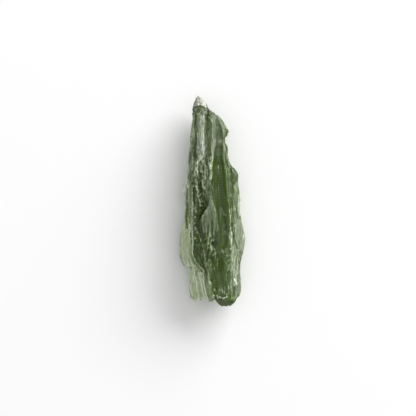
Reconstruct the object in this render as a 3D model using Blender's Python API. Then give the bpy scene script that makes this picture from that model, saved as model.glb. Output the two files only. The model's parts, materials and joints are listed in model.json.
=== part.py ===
"""A raw splinter of moldavite, the green tektite glass, lying on its broad side.

One solid: a long sliver, pointed at one end and broken off blunt at the other. It lies
along Y with its point towards +Y, and rests on a small flat spot on its underside.
The outline, the flutes and the fracture steps are in millimetres, in plan view.
"""

import math

import bmesh
import bpy
import numpy as np
from mathutils import Matrix, Vector, noise

MM = 0.001

# Driving dimensions, in millimetres
LENGTH = 36.0
TIP_Y = LENGTH / 2
WORN_OFF = 0.22  # taken off the belly, which leaves the flat spot the stone rests on

# The ball it is pushed out of has its poles at the point and at the broken end
RING_POINTS = 80
UPPER_POINTS = 50  # of each ring, on the upper face
RINGS = 62
CAP_RINGS = 5  # of all rings, on the broken end
EVEN_RINGS = 0.7  # share of even ring spacing; the rest crowds the rings at both ends
EVEN_POINTS = 0.65  # the same for the points across a ring

# Plan outline: (y, x) along each edge, from the point to the broken end
LEFT_EDGE = [
    (18.0, -2.5), (17.5, -2.9), (16.6, -3.2), (14.5, -3.6), (11.8, -3.9), (8.0, -4.3),
    (5.4, -4.7), (3.1, -5.1), (1.9, -5.35), (0.0, -5.4), (-1.7, -5.2), (-3.1, -5.25),
    (-4.8, -5.6), (-8.2, -5.65), (-9.6, -5.4), (-11.0, -4.75), (-11.2, -4.5),
    (-13.5, -4.2), (-16.0, -3.8), (-17.2, -3.5),
]
RIGHT_EDGE = [
    (18.0, -2.3), (17.4, -1.7), (16.5, -1.0), (15.1, 0.2), (14.4, 1.1), (13.8, 1.75),
    (13.0, 2.15), (12.2, 2.65), (11.8, 2.8), (11.1, 2.45), (10.4, 2.1), (9.4, 2.5),
    (7.9, 2.75), (6.5, 3.1), (5.0, 4.25), (4.3, 4.5), (3.3, 4.45), (1.9, 4.65),
    (-1.5, 4.7), (-3.0, 5.0), (-5.0, 5.5), (-6.4, 5.75), (-7.1, 5.55), (-9.5, 5.1),
    (-12.2, 4.7), (-14.5, 4.7), (-16.0, 4.85), (-16.6, 4.5), (-17.2, 3.9),
]
# Where the broken end stops: (share of the way across, y)
BROKEN_END = [
    (-1.0, -16.3), (-0.93, -16.95), (-0.82, -17.15), (-0.7, -17.0), (-0.62, -16.8),
    (-0.35, -16.9), (-0.1, -17.1), (0.1, -17.5), (0.28, -17.95), (0.45, -18.0),
    (0.62, -17.75), (0.82, -17.0), (1.0, -16.1),
]

# Heights above the ground along the length: (y, height)
CREST = [
    (18.0, 2.9), (16.5, 3.7), (14.0, 4.5), (10.0, 5.2), (4.0, 5.8), (-3.0, 6.2),
    (-9.0, 6.1), (-13.0, 5.6), (-16.0, 4.9), (-18.0, 4.3),
]
BELLY = [
    (18.0, 2.3), (16.5, 1.75), (14.0, 1.2), (10.0, 0.65), (5.0, 0.24), (1.0, 0.06), (-2.0, 0.0),
    (-5.0, 0.04), (-8.0, 0.18), (-12.0, 0.45), (-16.0, 0.95), (-18.0, 1.5),
]
LEFT_EDGE_HEIGHT = [(18.0, 2.6), (10.0, 2.7), (2.0, 2.3), (-5.0, 1.7), (-12.0, 1.7), (-18.0, 1.7)]
RIGHT_EDGE_HEIGHT = [(18.0, 2.6), (10.0, 3.2), (2.0, 2.9), (-6.0, 2.3), (-12.0, 2.4), (-18.0, 2.6)]
EDGE_WAVER = 0.35  # how far the edges wander up and down
EDGE_WAVE = 2.4  # length of that wandering, along the stone
UPPER_ROUNDNESS = 2.1  # the section's curve over the top, 2 being round and 8 nearly square
UNDER_ROUNDNESS = 2.0
SHOULDER = 0.8  # under 1 it rises more steeply from the edges
END_THICKNESS = 0.62  # of the full thickness, left standing at the broken end
END_ROUNDING = 1.5  # length over which the stone thins to it
END_BLUNTNESS = 4.0  # how much squarer the section gets there
END_LEAN = 0.8  # how far the foot of the break is set back under its top
END_HOLLOW = 0.2  # depth of the shell-shaped hollow in the break
TIP_ROUNDING = 3.5


def table(pairs, y):
    """The value at y, read from a list of (y, value) pairs that runs down the stone."""
    ys, values = zip(*sorted(pairs))
    return np.interp(y, ys, values)


def smooth(low, high, t):
    """0 below low, 1 above high, and a smooth rise between."""
    share = np.clip((t - low) / (high - low), 0.0, 1.0)
    return share * share * (3 - 2 * share)


def nearest_on_path(path, x, y):
    """(distance from the path, distance run along it, its length).

    The distance is signed: plus is the +x side of a path that runs down the stone.
    """
    best = np.full(len(x), 1e9)
    side = np.zeros(len(x))
    run = np.zeros(len(x))
    start = 0.0
    for (ax, ay), (bx, by) in zip(path, path[1:]):
        dx, dy = bx - ax, by - ay
        length = math.hypot(dx, dy)
        share = np.clip(((x - ax) * dx + (y - ay) * dy) / length**2, 0.0, 1.0)
        off_x, off_y = x - ax - share * dx, y - ay - share * dy
        distance = np.hypot(off_x, off_y)
        closer = distance < best
        cross = off_x * dy - off_y * dx
        best = np.where(closer, distance, best)
        side = np.where(closer, -np.sign(cross), side)
        run = np.where(closer, start + share * length, run)
        start += length
    return best * side, run, start


# How a stroke's height falls off, d being the distance from its path over its half width
PROFILES = {
    "ridge": lambda d: np.clip(1 - np.abs(d), 0, 1),
    "groove": lambda d: -np.clip(1 - np.abs(d), 0, 1),
    "pillow": lambda d: np.clip(1 - d * d, 0, 1) ** 1.5,
    "trough": lambda d: -np.clip(1 - d * d, 0, 1) ** 1.5,
    "step_right": lambda d: -np.where(d > 0, np.clip(1 - d, 0, 1), 0),
    "step_left": lambda d: -np.where(d < 0, np.clip(1 + d, 0, 1), 0),
}

# Relief of the broad upper face: profile, height, half width and path, all in mm.
# Flutes run with the drawn-out grain of the glass, from the point to the broken end.
UPPER_RELIEF = [
    # the point's half: narrow grooves between smooth pillows
    ("groove", 0.55, 0.42, [(-2.8, 15.6), (-2.8, 12.5), (-2.9, 8.7), (-3.1, 6.6)]),
    ("pillow", 0.45, 0.95, [(-1.9, 15.4), (-1.9, 13.0), (-1.7, 10.5), (-1.5, 7.4)]),
    ("step_right", 0.60, 1.30, [(-0.7, 9.4), (-1.3, 7.7), (-2.0, 6.9), (-2.9, 6.1)]),
    ("groove", 0.75, 0.50, [(-0.8, 15.8), (-0.9, 12.2), (-1.0, 9.6), (-0.9, 7.9), (-1.2, 6.0)]),
    ("groove", 0.55, 0.60, [(0.9, 14.3), (1.0, 11.8), (1.2, 9.8)]),
    # the main ridge, which winds down the middle
    ("ridge", 0.75, 0.85, [(-0.1, 15.3), (0.0, 12.2), (-0.1, 9.6), (-0.3, 7.7), (-0.3, 5.3),
                           (-0.5, 3.9), (-0.3, 1.9), (0.0, 0.2), (0.3, -1.0), (0.7, -2.6),
                           (1.0, -4.6), (1.2, -7.7)]),
    # the long smooth window to its right, and the thin ridge and slot beside it
    ("trough", 0.75, 1.00, [(1.1, 10.5), (1.0, 8.0), (1.0, 5.0)]),
    ("trough", 1.15, 1.55, [(1.1, 7.4), (1.2, 3.6), (1.4, 0.6), (1.6, -1.9), (1.8, -4.4), (1.8, -7.4)]),
    ("ridge", 0.45, 0.50, [(1.9, 10.1), (1.9, 7.0), (2.3, 4.5), (2.7, 1.9), (2.8, -0.7), (3.0, -2.6)]),
    ("groove", 0.60, 0.50, [(2.6, 7.0), (2.9, 5.0), (3.2, 2.9), (3.2, 0.2)]),
    ("groove", 0.40, 0.45, [(2.6, -1.6), (2.5, -3.6), (2.4, -6.4)]),
    ("ridge", 0.55, 0.70, [(3.1, -1.9), (2.9, -3.6), (3.0, -5.5), (3.4, -7.2), (3.6, -9.3),
                           (3.5, -11.0), (3.7, -14.0)]),
    ("step_left", 0.40, 0.80, [(3.4, -3.0), (3.3, -5.0), (3.7, -7.0), (4.4, -8.9)]),
    # the hollowed, knobbly ground left of the ridge
    ("trough", 0.70, 1.50, [(-1.9, 5.0), (-2.0, 1.5), (-2.2, -2.5), (-2.6, -7.5)]),
    ("groove", 0.70, 0.45, [(-2.1, 4.6), (-2.1, 2.9), (-2.0, 1.4), (-1.5, -0.4)]),
    ("groove", 0.50, 0.40, [(-3.2, 2.8), (-3.2, 0.5), (-3.1, -2.1)]),
    ("ridge", 0.40, 0.40, [(-3.1, 6.5), (-2.7, 5.1), (-2.4, 3.6)]),
    ("ridge", 0.40, 0.40, [(-1.3, 3.4), (-1.0, 1.7), (-0.5, 0.2)]),
    ("ridge", 0.35, 0.40, [(-2.8, 1.2), (-2.3, 0.0), (-1.6, -1.4)]),
    # the kite-shaped fracture in the middle stands proud of it
    ("step_left", 0.90, 1.50, [(-0.2, 0.5), (-0.9, -1.0), (-1.5, -2.2), (-2.2, -4.1)]),
    ("groove", 0.35, 0.40, [(-0.6, -4.9), (-0.2, -6.8), (0.4, -8.8)]),
    # the thin shelf along the left edge
    ("groove", 0.45, 0.50, [(-4.5, 3.0), (-4.5, -0.7), (-4.4, -4.6)]),
    ("step_left", 1.10, 2.30, [(-3.7, 0.0), (-3.5, -3.9), (-3.5, -9.4), (-2.9, -10.6), (-1.1, -12.4)]),
    # the lower window and the chipped end
    ("trough", 0.70, 1.30, [(1.5, -9.0), (1.4, -11.5), (1.4, -13.5), (1.5, -16.0)]),
    ("ridge", 0.40, 0.45, [(-3.6, -11.6), (-3.1, -14.1), (-2.6, -16.8)]),
    ("ridge", 0.35, 0.40, [(-2.5, -12.2), (-2.0, -14.1), (-1.3, -16.9)]),
    ("groove", 0.45, 0.45, [(0.6, -15.9), (1.6, -16.6), (2.7, -16.2)]),
]

# Relief of the underside, seen from above, with heights measured outwards
UNDER_RELIEF = [
    ("trough", 0.60, 1.10, [(-3.6, 6.0), (-4.0, 1.0), (-4.1, -5.0), (-3.6, -10.0)]),
    ("ridge", 0.40, 0.60, [(-3.0, 11.5), (-2.9, 7.0), (-3.1, 2.0)]),
    ("groove", 0.55, 0.55, [(-1.2, 15.5), (-1.3, 12.0), (-1.0, 8.6)]),
    ("trough", 0.65, 1.00, [(3.6, 4.0), (3.9, 0.0), (4.2, -5.0), (3.6, -9.5)]),
    ("groove", 0.50, 0.45, [(2.4, 9.0), (2.5, 5.5), (2.7, 1.5)]),
    ("step_right", 0.55, 1.20, [(2.0, -8.0), (1.0, -10.5), (1.3, -13.0), (2.6, -15.4)]),
    ("groove", 0.50, 0.50, [(-1.8, -10.5), (-1.5, -13.0), (-1.7, -16.6)]),
    ("ridge", 0.35, 0.50, [(0.4, -10.8), (0.2, -13.6), (0.6, -16.8)]),
    ("trough", 0.45, 0.90, [(0.4, 13.8), (0.6, 10.5), (0.9, 8.2)]),
]

# Flat breaks that cut across the relief: a point on each (x, y, z), and its slope per mm
# towards +x and towards +y
UPPER_BREAKS = [
    (-2.0, 16.2, 3.75, 0.12, -0.62),  # the pale chip at the point
    (-0.7, -14.0, 5.00, 0.66, 0.24),  # the broad break at the lower left
    (3.5, -5.0, 4.55, -0.98, 0.02),  # the lens-shaped break on the right edge
    (1.5, -16.6, 4.30, -0.05, 0.95),  # the broken end, leaning back
    (2.2, 13.4, 4.30, -0.70, -0.45),  # the shoulder beside the point
]
UNDER_BREAKS = [
    (-1.0, -14.5, 0.75, -0.22, -0.30),
    (2.0, 12.0, 1.15, 0.25, 0.16),
    (-3.6, 2.0, 0.95, -0.62, 0.03),
]

GLASS_GREEN = (0.085, 0.135, 0.045, 1.0)
GLASS_ROUGHNESS = 0.35

# Uneven surface between the strokes: height, and grain size across and along the stone, mm
GRAIN = [(0.22, 1.10, 7.0), (0.20, 0.50, 3.0)]
EDGE_BAND = 0.55  # the relief fades out this far from the edge, mm
STROKE_TAPER = 1.6  # length over which a stroke fades out at its ends, mm
LEAST_THICKNESS = 0.5


def relief(strokes, x, y):
    """The height all strokes add at each point, in mm."""
    total = np.zeros(len(x))
    for profile, height, half_width, path in strokes:
        distance, run, length = nearest_on_path(path, x, y)
        taper = min(STROKE_TAPER, 0.4 * length)
        fade = smooth(0, taper, run) * smooth(0, taper, length - run)
        total += height * fade * PROFILES[profile](distance / half_width)
    return total


def grain(x, y, z):
    """Drawn-out unevenness, longer along the stone than across it."""
    total = np.zeros(len(x))
    for height, across, along in GRAIN:
        total += height * np.array([
            noise.noise(Vector((px / across, py / along, pz / across)))
            for px, py, pz in zip(x, y, z)
        ])
    return total


def planes(breaks, x, y):
    """The height of every flat break over every point."""
    return [z + slope_x * (x - px) + slope_y * (y - py) for px, py, z, slope_x, slope_y in breaks]


def arch(u, steepness):
    """1 in the middle, 0 at both edges (u is -1 and +1 there)."""
    return np.clip(1 - np.abs(u) ** steepness, 0, 1) ** SHOULDER


def place(v, u, upper):
    """Points in mm on the skin of the stone, at share v of its length and u across."""
    end_u, end_y = zip(*BROKEN_END)
    end = np.interp(u, end_u, end_y)
    y = TIP_Y + v * (end - TIP_Y)
    left = table(LEFT_EDGE, y)
    right = table(RIGHT_EDGE, y)
    share = (u + 1) / 2
    x = left + (right - left) * share

    edge = table(LEFT_EDGE_HEIGHT, y) * (1 - share) + table(RIGHT_EDGE_HEIGHT, y) * share
    edge += EDGE_WAVER * np.array([
        noise.noise(Vector((pu, py / EDGE_WAVE, 0))) for pu, py in zip(u, y)
    ]) * smooth(0, 2, TIP_Y - y)

    from_end = np.clip((y - end) / END_ROUNDING, 0, 1)
    from_tip = np.clip((TIP_Y - y) / TIP_ROUNDING, 0, 1)
    full = END_THICKNESS + (1 - END_THICKNESS) * np.sqrt(1 - (1 - from_end) ** 2)
    full *= np.sqrt(1 - (1 - from_tip) ** 2)
    square = END_BLUNTNESS * smooth(4.0, 0.0, y - end)
    top = edge + (table(CREST, y) - edge) * arch(u, UPPER_ROUNDNESS + square) * full
    under = edge + (table(BELLY, y) - WORN_OFF - edge) * arch(u, UNDER_ROUNDNESS + square) * full

    to_edge = np.minimum(x - left, right - x)
    inside = smooth(0, EDGE_BAND, to_edge) * smooth(0, 0.5, TIP_Y - y)
    top += inside * (relief(UPPER_RELIEF, x, y) + grain(x, y, top))
    under -= inside * (relief(UNDER_RELIEF, x, y) + grain(x, y, under))
    top = np.minimum(top, np.min(planes(UPPER_BREAKS, x, y), axis=0))
    under = np.maximum(under, np.max(planes(UNDER_BREAKS, x, y), axis=0))

    least = np.minimum(LEAST_THICKNESS, to_edge) / 2
    top = np.maximum(top, edge + least)
    under = np.maximum(np.minimum(under, edge - least), 0)
    set_back = END_LEAN * (1 - from_end) ** 2 * arch(u, UNDER_ROUNDNESS + square)
    return np.stack([x, np.where(upper, y, y + set_back), np.where(upper, top, under)], axis=1)


def spread(share, evenness):
    """Shares from 0 to 1, crowded towards both ends unless evenness is 1."""
    return evenness * share + (1 - evenness) * (1 - np.cos(np.pi * share)) / 2


def stone_mesh():
    """The ball, pushed out ring by ring to the skin of the stone."""
    bm = bmesh.new()
    bmesh.ops.create_uvsphere(bm, u_segments=RING_POINTS, v_segments=RINGS, radius=1)
    bmesh.ops.rotate(bm, verts=bm.verts, matrix=Matrix.Rotation(-math.pi / 2, 3, "X"))
    ball = np.array([vert.co for vert in bm.verts])

    ring = np.round(np.arccos(np.clip(ball[:, 1], -1, 1)) / math.pi * RINGS)
    turn = np.arctan2(ball[:, 2], ball[:, 0]) / (2 * math.pi)
    point = np.round(turn * RING_POINTS) % RING_POINTS
    upper = point < UPPER_POINTS
    across = np.where(
        upper,
        point / UPPER_POINTS,
        (RING_POINTS - point) / (RING_POINTS - UPPER_POINTS),
    )
    u = 1 - 2 * spread(across, EVEN_POINTS)
    body_rings = RINGS - CAP_RINGS
    v = spread(np.clip(ring / body_rings, 0, 1), EVEN_RINGS)
    skin = place(v, u, upper)

    # The rings past the body close in on the middle of the broken end
    last = skin[ring == body_rings]
    middle = last.mean(axis=0)
    size = np.clip((RINGS - ring) / CAP_RINGS, 0, 1)[:, None]
    skin = middle + (skin - middle) * size
    skin[:, 1] += END_HOLLOW * (1 - size[:, 0] ** 2)

    low, high = skin.min(axis=0), skin.max(axis=0)
    shift = np.array([(low[0] + high[0]) / 2, (low[1] + high[1]) / 2, low[2]])
    for vert, place_mm in zip(bm.verts, skin - shift):
        vert.co = Vector(place_mm) * MM
    bmesh.ops.triangulate(bm, faces=bm.faces)

    mesh = bpy.data.meshes.new("moldavite")
    bm.to_mesh(mesh)
    bm.free()
    return mesh


def green_glass():
    """Bottle-green natural glass with an etched skin."""
    material = bpy.data.materials.new("moldavite_glass")
    material.use_nodes = True
    shader = material.node_tree.nodes["Principled BSDF"]
    shader.inputs["Base Color"].default_value = GLASS_GREEN
    shader.inputs["Roughness"].default_value = GLASS_ROUGHNESS
    shader.inputs["Metallic"].default_value = 0.0
    return material


for old in list(bpy.data.objects):
    bpy.data.objects.remove(old)

stone = bpy.data.objects.new("moldavite", stone_mesh())
stone.data.materials.append(green_glass())
collection = bpy.data.collections.new("moldavite")
bpy.context.scene.collection.children.link(collection)
collection.objects.link(stone)
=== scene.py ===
import json
import math

import bpy
import numpy as np
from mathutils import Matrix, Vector, noise

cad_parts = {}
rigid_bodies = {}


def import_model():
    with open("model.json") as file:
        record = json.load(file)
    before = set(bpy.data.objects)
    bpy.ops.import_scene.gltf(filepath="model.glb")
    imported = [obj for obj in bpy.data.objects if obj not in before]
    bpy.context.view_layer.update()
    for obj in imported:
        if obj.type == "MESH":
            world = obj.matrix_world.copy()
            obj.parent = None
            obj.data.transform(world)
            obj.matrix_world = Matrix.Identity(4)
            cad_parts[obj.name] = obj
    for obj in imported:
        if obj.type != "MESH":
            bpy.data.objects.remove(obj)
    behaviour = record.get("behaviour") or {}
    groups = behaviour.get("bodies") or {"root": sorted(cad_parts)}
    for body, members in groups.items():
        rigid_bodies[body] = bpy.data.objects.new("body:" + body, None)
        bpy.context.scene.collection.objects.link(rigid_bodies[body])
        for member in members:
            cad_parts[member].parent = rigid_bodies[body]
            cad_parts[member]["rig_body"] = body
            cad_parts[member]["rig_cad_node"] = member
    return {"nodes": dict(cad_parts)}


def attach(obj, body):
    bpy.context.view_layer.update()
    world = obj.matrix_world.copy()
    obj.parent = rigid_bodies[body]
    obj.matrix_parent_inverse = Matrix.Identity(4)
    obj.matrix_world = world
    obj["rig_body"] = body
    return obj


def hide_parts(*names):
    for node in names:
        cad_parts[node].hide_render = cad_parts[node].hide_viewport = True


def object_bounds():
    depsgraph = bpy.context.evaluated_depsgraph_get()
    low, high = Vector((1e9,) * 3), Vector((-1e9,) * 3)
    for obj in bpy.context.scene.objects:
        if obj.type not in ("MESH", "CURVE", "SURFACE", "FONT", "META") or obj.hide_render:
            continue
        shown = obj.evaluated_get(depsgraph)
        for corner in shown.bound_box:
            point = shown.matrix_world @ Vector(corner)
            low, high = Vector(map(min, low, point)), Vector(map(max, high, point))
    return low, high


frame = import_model()
cadLow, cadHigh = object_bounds()
print("packed stone loaded")

mm = 0.001
frostLow, frostHigh = -1, 4    # the ends of the frost scale that the splinter and its glass share


def makeActive(piece):
    bpy.ops.object.select_all(action='DESELECT')
    piece.select_set(True)
    bpy.context.view_layer.objects.active = piece


def applyModifier(piece, kind, **settings):
    makeActive(piece)
    modifier = piece.modifiers.new(kind.lower(), kind)
    for name, value in settings.items():
        setattr(modifier, name, value)
    bpy.ops.object.modifier_apply(modifier=modifier.name)


def linearColour(hexColour):
    # sRGB hex to the linear colour that Blender's sockets take
    channels = [int(hexColour[i:i + 2], 16) / 255 for i in (1, 3, 5)]
    linear = [c / 12.92 if c <= 0.04045 else ((c + 0.055) / 1.055) ** 2.4 for c in channels]
    return linear + [1.0]


def addNode(tree, kind, settings=None, links=None):
    node = tree.nodes.new(kind)
    for name, value in (settings or {}).items():
        if isinstance(name, int) or name in node.inputs:
            node.inputs[name].default_value = value
        else:
            setattr(node, name, value)
    for name, socket in (links or {}).items():
        tree.links.new(socket, node.inputs[name])
    return node


def readPoints(mesh):
    values = np.empty(len(mesh.vertices) * 3, np.float32)
    mesh.vertices.foreach_get("co", values)
    return values.reshape(-1, 3).astype(float)


def writePoints(mesh, points):
    mesh.vertices.foreach_set("co", points.astype(np.float32).ravel())
    mesh.update()


def readNormals(mesh):
    values = np.empty(len(mesh.vertices) * 3, np.float32)
    mesh.vertex_normals.foreach_get("vector", values)
    return values.reshape(-1, 3).astype(float)


def ease(low, high, t):
    # 0 at low, 1 at high, rounded off at both
    share = np.clip((t - low) / (high - low), 0, 1)
    return share * share * (3 - 2 * share)


def alongPath(path, x, y):
    # signed distance (plus is the +X side of a path that runs down the stone), run and length, mm
    nearest = np.full(len(x), 1e9)
    side = np.ones(len(x))
    run = np.zeros(len(x))
    done = 0.0
    for (startX, startY), (endX, endY) in zip(path, path[1:]):
        stepX, stepY = endX - startX, endY - startY
        length = math.hypot(stepX, stepY)
        share = np.clip(((x - startX) * stepX + (y - startY) * stepY) / length ** 2, 0, 1)
        offX = x - startX - share * stepX
        offY = y - startY - share * stepY
        distance = np.hypot(offX, offY)
        closer = distance < nearest
        nearest = np.where(closer, distance, nearest)
        side = np.where(closer, -np.sign(offX * stepY - offY * stepX), side)
        run = np.where(closer, done + share * length, run)
        done += length
    return nearest * side, run, done


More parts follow.
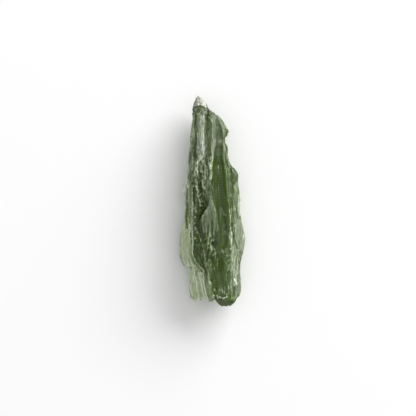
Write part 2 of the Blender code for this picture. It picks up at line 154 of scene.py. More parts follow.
# the splinter: every mark is (shape, height mm, half width mm, frost, path on plan in mm);
# frost runs from -1 for deep clear glass, painted darker for the shade seen through it, by 0 for
# clear, 1 for the etched satin skin, 2 for the thin edges, painted pale for the light that shines
# through them, and 2.35 for bright hairlines to 4 for crushed grey glass
splinterLook = {
    "voxel": 0.110,            # mm between the points of the finished skin
    "fluteRelief": 0.34,       # mm, how far the drawn-out flutes stand up
    "fluteSize": (1.3, 6.5),   # mm across and along
    "striaeRelief": 0.28,      # finer striae on the flutes
    "striaeSize": (0.50, 3.2),
    "threadRelief": 0.11,      # the finest threads, about as fine as the mesh can carry
    "threadSize": (0.24, 1.8),
    "chipRelief": 0.36,        # small scalloped chips in the rough ground
    "chipSize": (0.55, 1.1),
    "crestFrostAndShading": 3.6,         # frost gained for each mm that a crest stands proud and lost where a hollow sinks; partly etched crests, partly painted highlight on crests and painted shade in hollows
    "edgeFrostAndShading": 9.5,          # the same for the sharpest edges, against the skin close by; also partly painted highlight and painted shade
    "streakFrost": 0.42,       # how much the frost varies from one thread of glass to the next
    "streakSize": (0.30, 3.0),
    "bandSize": (0.9, 6.0),    # broad bands of threads that vary together
    "speckleFrost": 0.85,      # the same for short specks
    "speckleSize": (0.23, 0.50),
    "rippleFrost": 0.55,       # the same for the fine ripples across the clear window
    "rippleSpacing": 0.45,     # mm; in the stone they are a little finer than the render can show
    "bareFrost": 0.12,         # frost on top where no mark says otherwise
    "lowerFrost": 0.5,         # the same underneath
    "waver": 0.22,             # mm, how far a mark strays from its path
    "waverSize": (0.9, 2.0),
    "uneven": 0.9,             # how much a mark's height varies along it
    "unevenSize": (1.1, 2.4),
    "polishRounds": 25,        # smoothing of the rippled glass, so that its walls don't glint
    # (Y, mm that the edge is nicked in there, minus where it stands out), down each side
    "leftNicks": [
        (18, 0), (12.5, 0.1), (9.8, 0.34), (7.7, 0.34), (5.7, 0.5), (3.6, 0.5), (1.6, 0.2),
        (0.4, 0.35), (-0.5, 0.5), (-3.8, 0.5), (-4.5, 0.1), (-7.7, 0), (-8.7, -0.15),
        (-11.1, -0.15), (-11.4, 0.4), (-12.9, 0.2), (-15, 0), (-18, 0),
    ],
    "rightNicks": [(18, 0), (16.4, 0), (15.9, -0.4), (15.35, -0.05), (15, 0), (-18, 0)],
    # (X, mm that the broken end reaches further down there)
    "endReach": [
        (-4.4, 0.3), (-3.4, 0.25), (-2.6, 0), (-1.6, -0.15), (-1.1, -0.15), (-0.1, 0.15),
        (0.3, -0.3), (0.9, -0.2), (1.5, 0.05), (2.0, 0.05), (2.5, 0.38), (3.0, 0.7), (3.5, 0.65),
        (4.0, 0.65), (4.6, 0.4), (5.2, 0.2),
    ],
    "tipReach": 0.10,          # mm that the point reaches further up
    "upperMarks": [
        # broad stretches of the skin
        ("skin", 0, 1.30, 0.40, [(-1.6, 17.3), (-1.3, 14), (-1.6, 8), (-1.3, 6.5)]),
        ("dish", 0.04, 1.70, -0.95, [(1.1, 9.2), (1.3, 7), (1.4, 3.6), (1.45, 0.2), (1.6, -3.3),
                                     (1.3, -8.2)]),
        ("dish", 0.12, 1.35, -0.62, [(0.9, -9.2), (1.3, -12.7), (1.4, -15.0)]),
        ("skin", 0, 1.30, -0.45, [(-2.1, 2.6), (-1.8, 1), (-2.0, -1.9), (-2.2, -4.3),
                                  (-2.2, -7.5), (-1.8, -9.3)]),
        ("skin", 0, 0.90, 0.10, [(-2.1, -9.0), (-1.2, -10.3), (-0.4, -11.6)]),
        ("skin", 0, 0.60, 0.70, [(-3.6, 14.5), (-3.9, 11.5), (-4.1, 9.0)]),
        ("skin", 0, 1.60, 1.10, [(-2.2, 7.0), (-1.8, 4.6)]),
        # the left shelf and the lower-left break: skin painted pale for the light that shines
        # through the thin glass
        ("skin", 0, 0.85, 1.70, [(-4.7, 6.0), (-4.8, 1.9), (-5.0, -1.5)]),
        ("skin", 0, 1.00, 1.72, [(-5.1, -2.6), (-5.0, -4.4), (-4.9, -8.4), (-4.3, -10.5)]),
        ("skin", 0, 1.30, 1.80, [(-3.4, -11.8), (-3.0, -13.9), (-2.5, -16.8)]),
        ("skin", 0, 0.80, 0.05, [(3.7, 4.6), (3.9, 2.0), (3.9, 0.2)]),
        ("skin", 0, 0.85, -0.50, [(3.1, 5.6), (3.7, 3.6)]),
        ("skin", 0, 0.60, 0.35, [(4.0, -0.3), (4.1, -2.4)]),
        ("skin", 0, 1.00, 0.78, [(4.4, -4.0), (4.8, -5.8), (4.6, -7.5), (4.2, -10.5),
                                 (4.1, -13.5)]),
        ("skin", 0, 0.60, 0.25, [(2.1, -8.4), (2.5, -10.5), (2.6, -13.0)]),
        ("skin", 0, 0.50, 0.55, [(3.1, -10.5), (3.1, -13.2), (3.0, -15.3)]),
        ("skin", 0, 0.55, 0.05, [(1.3, 14.0), (2.1, 12.9), (2.5, 11.7)]),
        ("skin", 0, 0.50, 0.75, [(5.3, -4.5), (5.4, -6.6), (4.9, -8.6)]),
        # upper half, left to right
        ("groove", 0.16, 0.27, 0.15, [(-3.3, 16.1), (-3.5, 14.7), (-3.8, 12.7)]),
        ("ridge", 0.14, 0.30, 0.90, [(-3.3, 14.2), (-3.4, 11.3), (-3.7, 8.7)]),
        ("groove", 0.14, 0.26, 0.10, [(-4.1, 9.0), (-4, 6.5)]),
        ("groove", 0.30, 0.22, -0.10, [(-2.7, 15.6), (-2.7, 12.7), (-2.75, 11.6)]),
        ("groove", 0.22, 0.16, 0.40, [(-2.75, 12.4), (-2.8, 10.5), (-3, 8.7), (-3.1, 6.6)]),
        ("pillow", 0.05, 0.55, 0.70, [(-2.0, 14.6), (-2.1, 12.2), (-2.0, 11)]),
        ("skin", 0, 0.50, 1.10, [(-1.9, 13.8), (-1.9, 11.4)]),
        ("pillow", 0.03, 0.85, 1.30, [(-1.9, 11.2), (-1.8, 9.2)]),
        ("skin", 0, 0.75, 1.50, [(-1.8, 9.4), (-1.6, 7.4)]),
        ("skin", 0, 0.40, 1.35, [(-2.5, 10.4), (-2.4, 7.8)]),
        ("groove", 0.10, 0.12, 1.00, [(-2.3, 11.4), (-2.3, 9.1)]),
        ("ridge", 0.02, 0.20, 1.50, [(-2, 9.8), (-1.6, 8.7), (-1.5, 7.5)]),
        ("dropRight", 0.10, 0.50, 1.40, [(-0.9, 8.4), (-1.3, 7.6), (-2.1, 6.8), (-2.8, 6.1)]),
        ("ridge", 0.06, 0.17, 2.30, [(-0.8, 8.5), (-1.3, 7.7), (-2.1, 6.9), (-2.6, 6.4)]),
        ("skin", 0, 0.30, 0.15, [(-3.0, 8.0), (-2.8, 7.0)]),
        ("skin", 0, 0.20, 0.60, [(-1.4, 14.2), (-1.35, 12.0), (-1.3, 9.4)]),
        ("groove", 0.36, 0.28, -0.35, [(-0.9, 15.6), (-0.9, 12.5), (-0.85, 11.4)]),
        ("groove", 0.30, 0.15, 0.20, [(-0.85, 12.0), (-0.8, 9.1), (-0.7, 7.9), (-0.9, 6.2)]),
        ("skin", 0, 0.70, 0.25, [(0, 14.8), (0.1, 13), (0, 10), (-0.3, 8.6)]),
        ("ridge", 0.03, 0.34, 0.30, [(-0.1, 14.8), (0, 13), (-0.1, 10.5), (-0.3, 8.4),
                                     (-0.4, 6.2), (-0.7, 3.9)]),
        ("ridge", 0.10, 0.22, 0.80, [(-0.5, 4.8), (-0.75, 1.9), (-0.4, 0.2)]),
        ("ridge", 0.05, 0.30, 0.80, [(0.4, 10.3), (0.1, 8.9), (-0.2, 7.4), (-0.3, 5.6),
                                     (-0.5, 3.8)]),
        ("groove", 0.12, 0.14, 0.30, [(-0.3, 12.2), (-0.2, 10.1)]),
        ("groove", 0.20, 0.26, 0.10, [(0.8, 14.9), (0.8, 12.5), (0.9, 10.5), (1.0, 9.4)]),
        ("ridge", 0.07, 0.16, 0.30, [(1.2, 14.6), (1.3, 12.5), (1.4, 11.2)]),
        ("ridge", 0.12, 0.22, 0.30, [(1.8, 13.6), (2, 12.5), (1.7, 10.5), (2.1, 8.7), (2.5, 7)]),
        ("groove", 0.18, 0.17, 0.10, [(1.6, 10.2), (1.7, 7.7)]),
        ("ridge", 0.14, 0.16, 0.50, [(1.8, 9.9), (1.9, 7.4), (2.1, 5.3), (2.4, 2.7), (2.5, 0.2),
                                     (2.8, -1.4)]),
        ("groove", 0.26, 0.28, 0.05, [(2.7, 6.9), (3, 5), (3.1, 2.7), (3, 0.4)]),
        ("pillow", 0.12, 0.30, 0.60, [(4.1, 2.9), (4.0, 1.6), (3.9, -0.7)]),
        ("skin", 0, 0.55, -0.50, [(1.2, 12.6), (1.15, 10.0)]),
        ("skin", 0, 0.36, 0.40, [(-1.9, 6.2), (-2.0, 5.4)]),
        # rough ground left of the main ridge
        ("ridge", 0.24, 0.22, 1.10, [(-3.2, 6.5), (-2.8, 5.3), (-2.3, 3.9)]),
        ("groove", 0.16, 0.24, 0.30, [(-3.9, 6.2), (-3.9, 4.3), (-3.7, 1.9)]),
        ("ridge", 0.18, 0.20, 0.85, [(-3, 4.3), (-2.7, 2.6), (-2.3, 0.9)]),
        ("groove", 0.44, 0.38, 0.20, [(-2.1, 4.6), (-2.1, 1.9), (-1.6, 0.7), (-1.1, -0.5)]),
        ("skin", 0, 0.28, 1.20, [(-2.0, 1.2), (-1.7, 0)]),
        ("ridge", 0.34, 0.16, 1.77, [(-1.6, 3.7), (-1.5, 2.0)]),
        ("ridge", 0.20, 0.15, 0.85, [(-1.1, 3.6), (-1.1, 1.9), (-0.6, 0.4)]),
        ("groove", 0.34, 0.22, 0.10, [(-3.3, 2.8), (-3.2, 0.2), (-3.1, -1.9)]),
        ("ridge", 0.20, 0.14, 1.00, [(-2.7, 1), (-2.1, -0.3), (-1.5, -1.4)]),
        ("ridge", 0.16, 0.14, 0.95, [(-3.3, -0.3), (-2.8, -1.9)]),
        ("groove", 0.45, 0.45, 0.00, [(-0.9, -0.7), (-1.6, -1.9), (-2.1, -3.4), (-2.7, -5.2)]),
        ("ridge", 0.22, 0.13, 1.40, [(-3, -2.7), (-2.7, -3.8), (-2.8, -4.8), (-2.3, -5.7)]),
        ("ridge", 0.08, 0.13, 0.60, [(-1.6, -4.6), (-1.5, -6)]),
        ("ridge", 0.16, 0.15, 1.80, [(-3.4, -5.7), (-3, -6.3)]),
        ("ridge", 0.14, 0.13, 1.10, [(-2.3, -6), (-1.8, -7)]),
        ("dish", 0.14, 0.48, 0.05, [(-3, -7.2), (-3, -8.9)]),
        ("skin", 0, 0.34, 0.35, [(-1.5, -7.5), (-1.5, -9.4)]),
        # the kite-shaped break and what runs down from it
        ("skin", 0, 0.34, 0.80, [(-0.2, -0.5), (-0.4, -1.4)]),
        ("skin", 0, 0.90, 0.88, [(-0.4, -1.9), (-0.5, -2.5)]),
        ("skin", 0, 1.25, 0.76, [(-0.5, -3.3), (-0.3, -4.6)]),
        ("skin", 0, 0.80, 0.62, [(-0.3, -4.8), (-0.2, -6.4)]),
        ("dropLeft", 0.45, 0.60, None, [(-0.3, 0.2), (-0.9, -1.2), (-1.5, -2.3), (-2.1, -3.5)]),
        ("skin", 0, 0.40, -0.70, [(-0.9, -0.3), (-1.5, -1.4), (-2.1, -2.5), (-2.6, -3.7)]),
        ("skin", 0, 0.40, -0.40, [(-2.5, -4.2), (-2.0, -5.4), (-1.3, -6.8)]),
        ("ridge", 0.08, 0.11, 1.10, [(-0.3, 0.0), (-0.9, -1.2), (-1.5, -2.3), (-2.1, -3.5)]),
        ("dropRight", 0.14, 0.60, None, [(0.0, 0.1), (0.4, -1.4), (0.9, -2.9)]),
        ("skin", 0, 0.35, 0.40, [(0.3, -1.4), (0.75, -3.4), (0.7, -4.6)]),
        ("ridge", 0.02, 0.10, 0.60, [(-0.1, 0.1), (0.4, -1.4), (0.9, -3.0)]),
        ("skin", 0, 0.24, 0.40, [(-0.1, -3.6), (0.1, -5.3)]),
        ("ridge", 0.06, 0.24, 0.30, [(-0.8, -6), (-0.4, -7.7), (-0.1, -9.1)]),
        ("ridge", 0.04, 0.13, 0.50, [(-0.4, -7.9), (0.1, -9.3)]),
        ("groove", 0.16, 0.24, 0.15, [(0.4, -6), (0.4, -8.1), (0.6, -9.8)]),
        ("skin", 0, 0.45, -0.40, [(0.8, -0.8), (1.3, -3.2), (1.6, -6.6)]),
        ("ridge", 0.05, 0.14, 0.25, [(1.2, -1.6), (1.4, -3.0), (1.2, -4.6)]),
        ("ridge", 0.05, 0.10, 0.70, [(1.4, -1.2), (2.0, -2.2)]),
        ("ridge", 0.05, 0.10, 1.30, [(1.9, -2.3), (2.6, -2.6), (3.0, -1.7)]),
        ("ridge", 0.10, 0.14, 0.45, [(2.1, -7.4), (2, -8.7)]),
        ("ridge", 0.12, 0.15, 0.55, [(0.8, -9.8), (0.8, -11.5)]),
        ("pillow", 0.24, 1.10, None, [(1.8, -3.4), (1.9, -6.8)]),
        ("dish", 0.30, 1.00, None, [(1.8, -5.8), (1.7, -10.2)]),
        ("dish", 0.16, 0.90, None, [(1.8, -6.0), (1.8, -8.8)]),
        ("pillow", 0.16, 0.90, None, [(0.9, 7.0), (1.0, 4.9)]),
        # painted shade, laid over the glint that the end wall of the window catches here
        ("skin", 0, 0.60, -1.20, [(1.5, -6.2), (1.8, -7.1)]),
        ("skin", 0, 0.38, 0.75, [(-0.6, -10.2), (-0.5, -11.8)]),
        # right band and the lens beside it
        ("ridge", 0.22, 0.26, 0.80, [(3.2, -1.2), (2.9, -2.9), (3.0, -5.3)]),
        ("groove", 0.14, 0.20, 0.12, [(2.7, 1.9), (2.6, -1.2), (2.5, -3.6), (2.5, -6)]),
        ("ridge", 0.26, 0.40, 0.90, [(3, -5.7), (3.3, -7.7), (3.5, -9.8), (3.5, -11.5)]),
        ("groove", 0.24, 0.18, 0.20, [(3.3, -3.3), (3.3, -5), (3.7, -6.7), (4.2, -8.1)]),
        # a painted highlight: the tiny bright spot on the right edge
        ("ridge", 0.08, 0.12, 1.66, [(5.2, -5.9), (5.3, -6.4)]),
        ("groove", 0.12, 0.14, 0.45, [(4.4, -6.7), (4.7, -8.4)]),
        ("ridge", 0.20, 0.24, 0.85, [(3.5, -11.5), (3.7, -12.9), (3.9, -13.9)]),
        # a painted glint: the small white spot of reflected light on this ridge
        ("ridge", 0.06, 0.13, 2.05, [(3.7, -13.2), (4, -14.1)]),
        ("groove", 0.14, 0.15, 0.30, [(4.4, -12.5), (4.6, -14.2), (4.7, -15.6)]),
        ("skin", 0, 0.40, 0.05, [(4.9, -8.8), (4.7, -11.8)]),
        ("skin", 0, 0.35, 1.10, [(4.6, 0.8), (4.7, -2.2)]),
        ("skin", 0, 0.36, 0.10, [(3.0, 1.8), (3.0, 0), (2.9, -2)]),
        # left shelf and the step above it; the shelf is painted pale for the light that shines
        # through the thin glass
        ("skin", 0, 0.22, 2.00, [(-5.3, 3.4), (-5.3, -0.5), (-5.2, -3.8)]),
        ("dropLeft", 0.26, 0.60, None, [(-3.7, 0.4), (-3.5, -3.9), (-3.5, -9.4), (-2.7, -10.6),
                                        (-1.3, -12.0)]),
        # painted light: the step's wall faces away from the lamp, and is painted pale as if lit
        # through the glass
        ("skin", 0, 0.24, 1.75, [(-3.9, -0.5), (-3.9, -5.0), (-3.9, -9.0)]),
        ("ridge", 0.10, 0.15, 0.95, [(-3.6, 0.9), (-3.45, -2.4)]),
        # a painted highlight: the bright line where the step's edge catches the light
        ("ridge", 0.10, 0.11, 2.10, [(-3.45, -1.6), (-3.5, -5.8), (-3.5, -8.9), (-3.0, -10.2)]),
        # painted shade: the dark strip of the step face turned away from the light
        ("skin", 0, 0.16, -0.30, [(-3.15, -2.0), (-3.15, -5.8), (-3.15, -8.7)]),
        ("groove", 0.12, 0.20, 0.75, [(-4.3, 1.9), (-4.4, -0.7)]),
        ("groove", 0.22, 0.20, 0.20, [(-4.4, -0.5), (-4.5, -2.9), (-4.4, -4.6)]),
        ("ridge", 0.10, 0.15, 0.75, [(-3.9, 1.9), (-3.9, -0.7), (-3.9, -3.6)]),
        ("ridge", 0.08, 0.13, 1.20, [(-3.5, -9.1), (-2.8, -10.5), (-1.8, -11.5), (-1.3, -12.2)]),
        # lower left break, with its long striae; its skin is painted pale for the light that shines
        # through the thin glass
        ("skin", 0, 0.42, 1.75, [(-1.9, -12.4), (-1.6, -14.6), (-1.2, -16.8)]),
        ("skin", 0, 0.62, 1.00, [(-0.75, -12.8), (-0.6, -14.2), (-0.45, -16.6)]),
        ("ridge", 0.10, 0.11, 2.35, [(-3.3, -11.5), (-2.7, -13.9), (-2.4, -16.9)]),
        ("groove", 0.03, 0.13, 1.60, [(-2.9, -11.8), (-2.3, -14.2), (-2.0, -16.9)]),
        ("ridge", 0.11, 0.11, 2.35, [(-2.6, -11.4), (-1.9, -14.2), (-1.4, -16.8)]),
        ("groove", 0.03, 0.12, 1.55, [(-2.1, -12.5), (-1.6, -14.6), (-1.1, -16.8)]),
        ("ridge", 0.10, 0.10, 2.30, [(-1.8, -13.2), (-1.3, -14.8), (-0.9, -16.7)]),
        ("groove", 0.02, 0.12, 1.60, [(-3.7, -12.2), (-3.3, -14.2), (-3.1, -16.4)]),
        ("groove", 0.12, 0.22, -0.10, [(0.0, -13.2), (0.05, -14.2), (0.15, -15.5)]),
        # lower window and the chipped end
        ("ridge", 0.14, 0.11, 2.25, [(0.2, -16.0), (1.0, -16.4)]),
        ("ridge", 0.14, 0.10, 2.25, [(0.6, -15.9), (1.2, -16.9)]),
        ("ridge", 0.14, 0.12, 2.25, [(1.1, -16.2), (1.7, -16.5), (2.3, -16.2)]),
        ("ridge", 0.12, 0.12, 0.90, [(0.3, -14.9), (0.6, -15.4)]),
        ("skin", 0, 0.75, -1.00, [(0.9, -17.3), (2, -17.7), (3.0, -17.4)]),
        ("groove", 0.14, 0.24, 0.05, [(1.6, -15.4), (2.7, -15.9)]),
        ("groove", 0.14, 0.15, 0.10, [(3.1, -15.4), (3.3, -16.3)]),
        ("skin", 0, 0.60, 0.30, [(3.5, -14.9), (3.4, -16.3)]),
        # the pale chip at the point; a frost above 4 keeps its specks grey too
        ("skin", 0, 0.60, 4.60, [(-2.6, 18.3), (-2.9, 17.2), (-3.0, 16.6)]),
        ("skin", 0, 0.50, 3.50, [(-2.1, 18), (-1.7, 17), (-1.4, 16.3)]),
        ("groove", 0.10, 0.13, 4.40, [(-2.4, 17.7), (-2.2, 16.3)]),
        ("skin", 0, 0.66, -0.55, [(-3.5, 15.6), (-2.2, 15.6), (-1.2, 15.3), (-0.7, 15.0)]),
        ("groove", 0.20, 0.22, -0.60, [(-3.3, 16), (-2.1, 16.1), (-1.1, 15.6)]),
        ("skin", 0, 0.20, -0.50, [(-1.1, 16.4), (-0.4, 15.7), (0.3, 14.8)]),
    ],
    "lowerMarks": [
        ("groove", 0.25, 0.30, 0.10, [(-1.2, 15.5), (-1.3, 12.0), (-1.0, 8.6)]),
        ("groove", 0.25, 0.30, 0.10, [(2.4, 9.0), (2.5, 5.5), (2.7, 1.5)]),
        ("groove", 0.22, 0.30, 0.15, [(-1.8, -10.5), (-1.5, -13.0), (-1.7, -16.6)]),
        ("dish", 0.15, 0.90, 0.15, [(-0.6, 6.5), (-0.8, 2.0), (-0.4, -3.0)]),
    ],
    # strokes from here on are (amount, half width mm, path); first the smooth fracture faces,
    # where the threads are faint
    "smoothFaces": [
        (1.0, 1.15, [(1.1, 10.8), (1.1, 6.2), (1.3, 3.6), (1.4, 1.0), (1.5, -1.5), (1.7, -4.1),
                     (1.5, -8.0)]),
        (0.8, 0.9, [(1.6, -4.0), (1.7, -9.5)]),
        (0.6, 1.3, [(1.5, -5.0), (1.2, -8.8), (1.2, -12.0)]),
        (1.0, 1.2, [(1.2, -9.5), (1.4, -13.5), (1.4, -16.0)]),
        (0.9, 1.0, [(-0.2, 0.6), (-0.5, -2.6), (-0.4, -6.4)]),
        (0.6, 0.9, [(-4.5, 3.5), (-4.6, -1.0), (-4.6, -5.0), (-4.4, -10.5)]),
        (0.8, 1.1, [(-4.9, -0.5), (-4.8, -5.0), (-4.4, -9.5), (-3.9, -13.5)]),
        (0.7, 0.8, [(3.6, 5.6), (3.9, 2.0), (3.9, -1.5)]),
        (0.85, 1.0, [(4.7, -1.0), (4.8, -5.0), (4.7, -10.0)]),
        (0.55, 1.0, [(1.0, 16.0), (1.7, 12.5), (1.8, 8.5)]),
        (0.7, 0.8, [(1.0, 14.6), (1.2, 12.0), (1.2, 8.5)]),
        (0.6, 0.7, [(0.0, 16.5), (0.1, 12.0), (-0.3, 7.5)]),
        (0.9, 1.7, [(-3.0, -11.0), (-2.3, -14.5), (-1.6, -18.5)]),
        (0.75, 0.7, [(-1.9, 14.8), (-1.9, 13.0), (-1.7, 10.5), (-1.5, 7.6), (-1.9, 5.6)]),
        (0.8, 0.8, [(0.4, -17.0), (2.4, -17.4), (3.8, -16.7)]),
        (1.0, 1.2, [(-2.2, 19.4), (-2.2, 16.6)]),
        (0.55, 0.9, [(3.3, -4.5), (3.6, -9.5), (3.7, -15.5)]),
    ],
    # where the skin's green is made greyer, and where it is made greener; on the left edge and the
    # lower-left break the extra green is painted light, for the light that shines through the thin
    # glass there
    "greyed": [
        (0.8, 2.6, [(-1.0, 18.5), (-0.6, 14.0), (-0.8, 6.5)]),
        (0.8, 0.9, [(4.6, 2.0), (4.9, -3.5), (4.9, -8.5), (4.2, -13.0), (4.4, -17.0)]),
    ],
    "greener": [
        (1.0, 1.8, [(-2.4, -4.5), (-2.0, -9.0), (-0.8, -12.5)]),
        (0.35, 1.4, [(-1.0, 6.5), (-0.8, 0.0)]),
        (0.7, 1.2, [(-5.2, 0.0), (-5.0, -10.5)]),
        (0.8, 2.4, [(-2.8, -9.5), (-1.6, -14.0), (-1.4, -18.5)]),
        (0.2, 1.6, [(0.8, 7.0), (1.0, 1.0), (1.4, -7.0)]),
        (0.5, 1.2, [(1.2, -6.0), (1.5, -13.0)]),
        (1.0, 1.2, [(0.0, -17.6), (2.0, -17.8), (4.6, -16.4)]),
    ],
    # clear glass with fine ripples across it, polished
    "rippledGlass": [
        (1.0, 1.1, [(1.3, 9.0), (1.4, 6.2), (1.5, 2.5), (1.4, -1.5)]),
        (0.7, 1.0, [(1.7, -4.5), (1.8, -9.0)]),
        (0.8, 0.9, [(1.1, -12.0), (1.2, -15.0)]),
    ],
    # rough ground broken up by small chips
    "chippedGround": [
        (1.0, 1.5, [(-2.2, 6.5), (-2.0, 3.0), (-2.0, 0.0), (-2.6, -3.0), (-2.6, -6.0),
                    (-1.6, -9.5)]),
        (0.8, 0.9, [(2.6, -6.5), (2.5, -9.0), (2.8, -12.0)]),
        (0.9, 1.0, [(0.3, -7.0), (0.1, -9.0), (0.1, -11.5)]),
        (0.8, 0.8, [(0.6, -15.6), (1.6, -16.3), (2.7, -15.8)]),
    ],
}

# how each shape rises or falls across its path, by the distance in half widths
profiles = {
    "groove": lambda d: -np.clip(1 - np.abs(d), 0, 1),
    "ridge": lambda d: np.clip(1 - np.abs(d), 0, 1),
    "dish": lambda d: -np.clip(1 - d * d, 0, 1) ** 1.5,
    "pillow": lambda d: np.clip(1 - d * d, 0, 1) ** 1.5,
    "dropRight": lambda d: -np.where(d > 0, np.clip(1 - d, 0, 1), 0),
    "dropLeft": lambda d: -np.where(d < 0, np.clip(1 + d, 0, 1), 0),
    "skin": lambda d: 0 * d,
}


def carveHeight(marks, x, y):
    total = np.zeros(len(x))
    for shape, height, halfWidth, _, path in marks:
        distance, run, length = alongPath(path, x, y)
        taper = min(1.2, 0.35 * length)    # mm over which each end of a mark dies out
        fading = height * ease(0, taper, run) * ease(0, taper, length - run)
        total += fading * profiles[shape](distance / halfWidth)
    return total


def paintFrost(marks, x, y, start):
    frost = np.full(len(x), start)
    for _, _, halfWidth, level, path in marks:
        if level is not None:
            distance = alongPath(path, x, y)[0]
            cover = ease(1.25, 0.70, np.abs(distance) / halfWidth)    # a soft rim
            frost += cover * (level - frost)
    return frost


def paintMask(strokes, x, y):
    mask = np.zeros(len(x))
    for amount, halfWidth, path in strokes:
        distance, run, length = alongPath(path, x, y)
        fade = min(2.2, 0.3 * length)      # mm, softer than the marks' own ends
        fading = amount * ease(0, fade, run) * ease(0, fade, length - run)
        mask += fading * ease(1.3, 0.6, np.abs(distance) / halfWidth)
    return np.clip(mask, 0, 1)


def acrossStone(points):
    # the middle line and the half width of the stone at each point, mm, from rows 0.5 mm high
    rowCount, perMm, start, reach = 74, 2, 18.5, 5
    rows = np.clip(((points[:, 1] + start) * perMm).astype(int), 0, rowCount - 1)
    left, right = np.zeros(rowCount), np.zeros(rowCount)
    np.minimum.at(left, rows, points[:, 0])
    np.maximum.at(right, rows, points[:, 0])
    soft = np.hanning(2 * reach + 1) / np.hanning(2 * reach + 1).sum()
    middle = np.convolve(np.pad((left + right) / 2, reach, 'edge'), soft, 'valid')
    halfWidth = np.convolve(np.pad((right - left) / 2, reach, 'edge'), soft, 'valid')
    at = (points[:, 1] + start - 0.5 / perMm) * perMm
    rowNumbers = np.arange(rowCount)
    return np.interp(at, rowNumbers, middle), np.interp(at, rowNumbers, halfWidth)


def flowing(points):
    # the same points with X measured across the stone, so that threads close up towards its ends
    middle, halfWidth = acrossStone(points)
    fullWidth, leastWidth = 4.6, 2.4    # mm, half widths; narrower than the least, threads stay
    across = (points[:, 0] - middle) * fullWidth / np.maximum(halfWidth, leastWidth)
    return np.stack([across, points[:, 1], points[:, 2]], axis=1)


def grain(points, size, shift):
    # noise from -1 to 1, drawn out along the stone; the shift picks another part of it
    across, along = size
    cells = points / np.array([across, along, across]) + shift
    return np.array([noise.noise(Vector(cell)) for cell in cells])


def crests(points, size, shift):
    # crests at 1, only just rounded off by the 0.004, with hollows between them
    return 1 - 2 * np.sqrt(grain(points, size, shift) ** 2 + 0.004)


def scallops(points, size, shift):
    # small bowls with sharp rims, from 0 on the rim to about 1 in the bowl
    across, along = size
    cells = points / np.array([across, along, across]) + shift
    nearest = [noise.voronoi(Vector(cell))[0] for cell in cells]
    return np.array([d[1] - d[0] for d in nearest])


def moveSkin(piece, heights):
    # along the normals, mm
    points = readPoints(piece.data) + readNormals(piece.data) * heights[:, None] * mm
    writePoints(piece.data, points)


def standsProud(mesh, rounds):
    # how far each point stands above (plus) or below (minus) the skin smoothed around it, mm
    ends = np.empty(len(mesh.edges) * 2, np.int32)
    mesh.edges.foreach_get("vertices", ends)
    here, there = ends.reshape(-1, 2).T
    start = readPoints(mesh) / mm
    count = np.bincount(ends, minlength=len(start))[:, None]
    smoothed = start
    for _ in range(rounds):
        total = np.stack([np.bincount(here, smoothed[there, k], len(start))
                          + np.bincount(there, smoothed[here, k], len(start))
                          for k in range(3)], axis=1)
        smoothed = 0.3 * smoothed + 0.7 * total / count
    return ((start - smoothed) * readNormals(mesh)).sum(axis=1)


makeActive(frame["nodes"]["moldavite"])
bpy.ops.object.duplicate()
splinter = bpy.context.active_object
splinter.name = "splinter"
splinter.data.name = "splinter"
splinter.parent = None
for leftover in ("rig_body", "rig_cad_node"):    # the copy is a piece of its own
    del splinter[leftover]

bpy.ops.object.mode_set(mode='EDIT')
bpy.ops.mesh.select_all(action='SELECT')
bpy.ops.mesh.remove_doubles(threshold=0.001 * mm)    # the node is loose triangles
bpy.ops.object.mode_set(mode='OBJECT')
applyModifier(splinter, 'REMESH', mode='VOXEL', voxel_size=splinterLook["voxel"] * mm)
applyModifier(splinter, 'SMOOTH', factor=0.5, iterations=5)
print("skin remeshed:", len(splinter.data.vertices), "points")

points = readPoints(splinter.data) / mm
x, y, z = points.T    # parts of points, so a change to one moves them
normalZ = readNormals(splinter.data)[:, 2]
middle, halfWidth = acrossStone(points)
# the nicks move the outer half of each side, most at its edge
nickY, nickDepth = zip(*reversed(splinterLook["leftNicks"]))
x += ease(0.45, 0.95, (middle - x) / halfWidth) * np.interp(y, nickY, nickDepth)
nickY, nickDepth = zip(*reversed(splinterLook["rightNicks"]))
x -= ease(0.45, 0.95, (x - middle) / halfWidth) * np.interp(y, nickY, nickDepth)
# the last few mm of both ends stretch
endX, endDepth = zip(*splinterLook["endReach"])
y -= ease(-15.0, -16.8, y) * np.interp(x, endX, endDepth)
y += ease(15.0, 17.8, y) * splinterLook["tipReach"]
upward = ease(0.0, 0.5, normalZ)
downward = ease(0.0, 0.5, -normalZ) * ease(0.0, 0.6, z)    # the resting spot stays flat
steady = 1 - 0.8 * paintMask(splinterLook["smoothFaces"], x, y)
waver = splinterLook["waver"] * steady * grain(points, splinterLook["waverSize"], 4.4)
uneven = 1 + splinterLook["uneven"] * grain(points, splinterLook["unevenSize"], 6.1)
z += upward * uneven * carveHeight(splinterLook["upperMarks"], x + waver, y)
z -= downward * uneven * carveHeight(splinterLook["lowerMarks"], x + waver, y)
writePoints(splinter.data, points * mm)

polished = splinter.vertex_groups.new(name="polished")
polish = paintMask(splinterLook["rippledGlass"], x, y) * upward
for index in np.nonzero(polish > 0.02)[0]:
    polished.add([int(index)], float(polish[index]), 'REPLACE')
applyModifier(splinter, 'SMOOTH', factor=0.5, iterations=splinterLook["polishRounds"],
              vertex_group="polished")
splinter.vertex_groups.clear()
print("marks carved")

points = readPoints(splinter.data) / mm
x, y = points.T[:2]
onTop = ease(-0.3, 0.3, readNormals(splinter.data)[:, 2])
flow = flowing(points)
smooth = paintMask(splinterLook["smoothFaces"], x, y) * onTop
chipped = paintMask(splinterLook["chippedGround"], x, y) * onTop
# flutes and striae die out on smooth and chipped ground and at both ends
fibrous = (1 - 0.85 * smooth) * (1 - 0.55 * chipped) * ease(17.5, 15.8, y) * ease(-17.9, -16.6, y)
threads = grain(flow, splinterLook["threadSize"], 1.3)
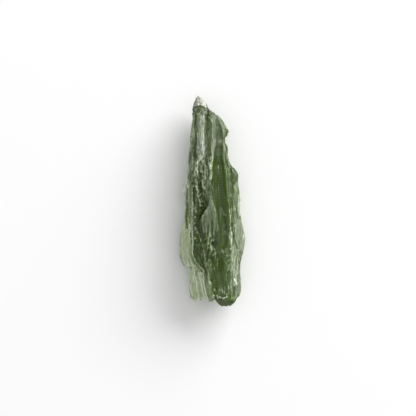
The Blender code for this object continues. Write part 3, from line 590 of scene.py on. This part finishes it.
# both less about their mean, so that the stone keeps its size
flutes = crests(flow, splinterLook["fluteSize"], 3.1) - 0.6
striae = crests(flow, splinterLook["striaeSize"], 7.7) - 0.6
moveSkin(splinter, fibrous * splinterLook["fluteRelief"] * flutes)
moveSkin(splinter, fibrous * splinterLook["striaeRelief"] * striae
         + (0.25 + 0.75 * fibrous) * splinterLook["threadRelief"] * threads)
bowls = 0.4 - scallops(flow, splinterLook["chipSize"], 5.2)
moveSkin(splinter, chipped * splinterLook["chipRelief"] * bowls)
makeActive(splinter)
bpy.ops.object.shade_smooth()

points = readPoints(splinter.data)
points[:, 2] = np.maximum(points[:, 2], 0)
points = np.clip(points, np.array(cadLow), np.array(cadHigh))
writePoints(splinter.data, points)
print("flutes and striae done:", len(splinter.data.loop_triangles), "triangles")

x, y = points.T[:2] / mm
painted = paintFrost(splinterLook["upperMarks"], x + waver, y, splinterLook["bareFrost"])
paintedBelow = paintFrost(splinterLook["lowerMarks"], x + waver, y, splinterLook["lowerFrost"])
frost = paintedBelow + onTop * (painted - paintedBelow)
proud = np.clip(standsProud(splinter.data, 14), -0.12, 0.12)    # against half a mm around
sharp = np.clip(standsProud(splinter.data, 4), -0.05, 0.05)     # against the nearest skin
print("crests and hollows, mm:", np.percentile(proud, [5, 50, 95]).round(3))
bands = grain(flow, splinterLook["bandSize"], 2.2)
streaks = grain(flow, splinterLook["streakSize"], 9.4) + 0.8 * bands + 0.5 * threads
speckle = grain(flow, splinterLook["speckleSize"], 8.6)
rippled = paintMask(splinterLook["rippledGlass"], x, y) * onTop
ripples = np.sin(y * 2 * math.pi / splinterLook["rippleSpacing"] + 3 * threads)
# crests painted paler and hollows darker: partly the etched skin, partly painted highlight and
# painted shade
frost += splinterLook["crestFrostAndShading"] * proud
frost += splinterLook["streakFrost"] * streaks * (1 - 0.8 * smooth)
frost += splinterLook["speckleFrost"] * speckle * (1 - 0.6 * smooth)
# sharp edges painted paler and tight creases darker, partly as painted highlight and painted shade
frost += splinterLook["edgeFrostAndShading"] * sharp
frost += splinterLook["rippleFrost"] * rippled * ripples
frost = np.clip(frost, frostLow, frostHigh)
# greyer where the first strokes lie, greener where the second lie; the greener left edge and
# lower-left break are painted light shining through the thin glass
greyer = paintMask(splinterLook["greyed"], x, y)
greener = paintMask(splinterLook["greener"], x, y)
greyed = (greyer - greener) * onTop
mottling = 1 - 0.65 * smooth
for name, values in (("frost", frost), ("mottling", mottling), ("greyed", greyed)):
    attribute = splinter.data.attributes.new(name, 'FLOAT', 'POINT')
    attribute.data.foreach_set("value", values.astype(np.float32))
print("frost painted")


# moldavite, a natural glass: clear green where it broke, etched satin where the ground worked on
# its skin, crushed grey where it was knocked; light comes out of the deep parts dark green, and
# only the etched skin and the thin edges look pale. The deepest green is painted darker than the
# glass, for the shade seen through it, and the thin edges are painted pale, for the light that
# shines through them
moldaviteGlass = {
    # (frost, colour, share of the light that goes through)
    "skins": [
        # the deepest clear glass, painted darker than the glass itself for the shade seen down
        # through it
        (-1, "#4e6528", 0.65),
        (0, "#7c9850", 0.95),
        (1, "#9aa986", 0.45),
        # the thin edges, painted pale for the light that shines through the thin glass
        (2, "#dae6c6", 0.33),
        (2.35, "#f4f7ea", 0.20),
        (4, "#908e80", 0.10),
    ],
    "greying": 0.40,            # share of its colour that a greyed skin loses, a greener one gains
    "clearRoughness": 0.34,     # fracture faces, where the frost is 0 or less
    "etchedRoughness": 0.52,    # satin, from frost 1 up
    "density": 220,             # absorption for each metre
    "absorbs": (0.47, 0.59, 0.27, 1.0),    # what is left of white light, linear
    "ior": 1.49,
    # for each metre: etch mottling 0.24 mm across and 0.4 mm along; real pits are finer than the
    # render can show
    "mottleScale": (4200, 2500, 4200),
    "mottleFrost": 3.2,         # steps of frost from the palest mottle to the clearest
    # satin drawn out along the stone, 0.19 mm across and 1.1 mm along
    "satinScale": (5200, 900, 5200),
    "satinStrength": 0.3,
    "satinDepth": 0.06,         # mm
}

material = bpy.data.materials.new("moldavite_glass")
material.use_nodes = True
tree = material.node_tree
tree.nodes.clear()
output = addNode(tree, 'ShaderNodeOutputMaterial')
frostValue = addNode(tree, 'ShaderNodeAttribute', {"attribute_name": "frost"})
mottlingValue = addNode(tree, 'ShaderNodeAttribute', {"attribute_name": "mottling"})
greyedValue = addNode(tree, 'ShaderNodeAttribute', {"attribute_name": "greyed"})
place = addNode(tree, 'ShaderNodeTexCoord').outputs["Object"]

# the frost of the mesh, plus etch mottling around it
mottleCells = addNode(tree, 'ShaderNodeMapping',
                      {"Scale": moldaviteGlass["mottleScale"]}, {"Vector": place})
mottle = addNode(tree, 'ShaderNodeTexNoise',
                 {"Scale": 1.0, "Detail": 2.0}, {"Vector": mottleCells.outputs["Vector"]})
patchy = addNode(tree, 'ShaderNodeMath',
                 {"operation": 'MULTIPLY_ADD', 1: moldaviteGlass["mottleFrost"],
                  2: -moldaviteGlass["mottleFrost"] / 2},
                 {0: mottle.outputs["Fac"]})
mottled = addNode(tree, 'ShaderNodeMath', {"operation": 'MULTIPLY_ADD'},
                  {0: patchy.outputs["Value"], 1: mottlingValue.outputs["Fac"],
                   2: frostValue.outputs["Fac"]})

# the skin's colour, with its clearness in the ramp's alpha
ladder = addNode(tree, 'ShaderNodeMapRange',
                 {"From Min": frostLow, "From Max": frostHigh}, {"Value": mottled.outputs["Value"]})
skin = addNode(tree, 'ShaderNodeValToRGB', None, {"Fac": ladder.outputs["Result"]})
steps = skin.color_ramp.elements
while len(steps) < len(moldaviteGlass["skins"]):
    steps.new(0.5)
for step, (level, hexColour, clearness) in zip(steps, moldaviteGlass["skins"]):
    step.position = (level - frostLow) / (frostHigh - frostLow)
    step.color = linearColour(hexColour)[:3] + [clearness]
saturation = addNode(tree, 'ShaderNodeMath',
                     {"operation": 'MULTIPLY_ADD', 1: -moldaviteGlass["greying"], 2: 1.0},
                     {0: greyedValue.outputs["Fac"]})
skinColour = addNode(tree, 'ShaderNodeHueSaturation', {"Value": 1.0},
                     {"Saturation": saturation.outputs["Value"], "Color": skin.outputs["Color"]})
roughness = addNode(tree, 'ShaderNodeMapRange',
                    {"From Min": 0.0, "From Max": 1.0,
                     "To Min": moldaviteGlass["clearRoughness"],
                     "To Max": moldaviteGlass["etchedRoughness"]},
                    {"Value": mottled.outputs["Value"]})

satinCells = addNode(tree, 'ShaderNodeMapping',
                     {"Scale": moldaviteGlass["satinScale"]}, {"Vector": place})
satin = addNode(tree, 'ShaderNodeTexNoise',
                {"Scale": 1.0, "Detail": 3.0}, {"Vector": satinCells.outputs["Vector"]})
bump = addNode(tree, 'ShaderNodeBump',
               {"Strength": moldaviteGlass["satinStrength"],
                "Distance": moldaviteGlass["satinDepth"] * mm},
               {"Height": satin.outputs["Fac"]})
shader = addNode(tree, 'ShaderNodeBsdfPrincipled',
                 {"IOR": moldaviteGlass["ior"], "Metallic": 0.0},
                 {"Base Color": skinColour.outputs["Color"],
                  "Roughness": roughness.outputs["Result"],
                  "Transmission Weight": skin.outputs["Alpha"],
                  "Normal": bump.outputs["Normal"]})
absorption = addNode(tree, 'ShaderNodeVolumeAbsorption',
                     {"Color": moldaviteGlass["absorbs"], "Density": moldaviteGlass["density"]})
tree.links.new(shader.outputs["BSDF"], output.inputs["Surface"])
tree.links.new(absorption.outputs["Volume"], output.inputs["Volume"])
splinter.data.materials.clear()
splinter.data.materials.append(material)

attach(splinter, "root")
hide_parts("moldavite")
print("glass applied")


studio = {
    "floor": "#f6f6f6",
    "floorSize": 3,                 # m
    "floorDrop": 0.02,              # mm under the stone, so that the two don't touch
    "lens": 100,                    # mm
    "sensor": 36,                   # mm
    "frameWidth": 71.3,             # mm across the picture, at the height of the stone's outline
    "outlineHeight": 2,             # mm
    "aim": (-0.8, -1.2),            # mm, the picture's centre on the stone's plan
    "keyFrom": (0.95, 1.04, 0.51),  # m
    "keyPower": 35.5,               # W
    "keySize": (1.5, 0.6),          # m, across and up
    "ambient": 0.625,               # strength of the white sky
}

bpy.ops.mesh.primitive_plane_add(size=studio["floorSize"],
                                 location=(0, 0, -studio["floorDrop"] * mm))
floor = bpy.context.active_object
floor.name = "floor"
paper = bpy.data.materials.new("white_paper")
paper.use_nodes = True
paperShader = paper.node_tree.nodes["Principled BSDF"]
paperShader.inputs["Base Color"].default_value = linearColour(studio["floor"])
paperShader.inputs["Roughness"].default_value = 0.9    # matt paper, with no gloss of its own
paperShader.inputs["Specular IOR Level"].default_value = 0.0
floor.data.materials.append(paper)

bpy.ops.object.light_add(type='AREA', location=studio["keyFrom"])
key = bpy.context.active_object
key.data.energy = studio["keyPower"]
key.data.shape = 'RECTANGLE'
key.data.size, key.data.size_y = studio["keySize"]
key.visible_camera = False
key.rotation_euler = (-Vector(studio["keyFrom"])).to_track_quat('-Z', 'Y').to_euler()

world = bpy.data.worlds.new("studio")
world.use_nodes = True
background = world.node_tree.nodes["Background"]
background.inputs["Color"].default_value = (1, 1, 1, 1)
background.inputs["Strength"].default_value = studio["ambient"]
bpy.context.scene.world = world

# straight above the stone, looking down
height = studio["frameWidth"] * mm * studio["lens"] / studio["sensor"]
height += studio["outlineHeight"] * mm
aimX, aimY = studio["aim"]
bpy.ops.object.camera_add(location=(aimX * mm, aimY * mm, height), rotation=(0, 0, 0))
camera = bpy.context.active_object
camera.data.lens = studio["lens"]
camera.data.sensor_width = studio["sensor"]
camera.data.clip_start = 0.01
bpy.context.scene.camera = camera
bpy.context.scene.view_settings.view_transform = 'Standard'
bpy.context.scene.cycles.max_bounces = 24    # light turns often between the flutes
bpy.context.scene.cycles.transmission_bounces = 20
print("studio set")
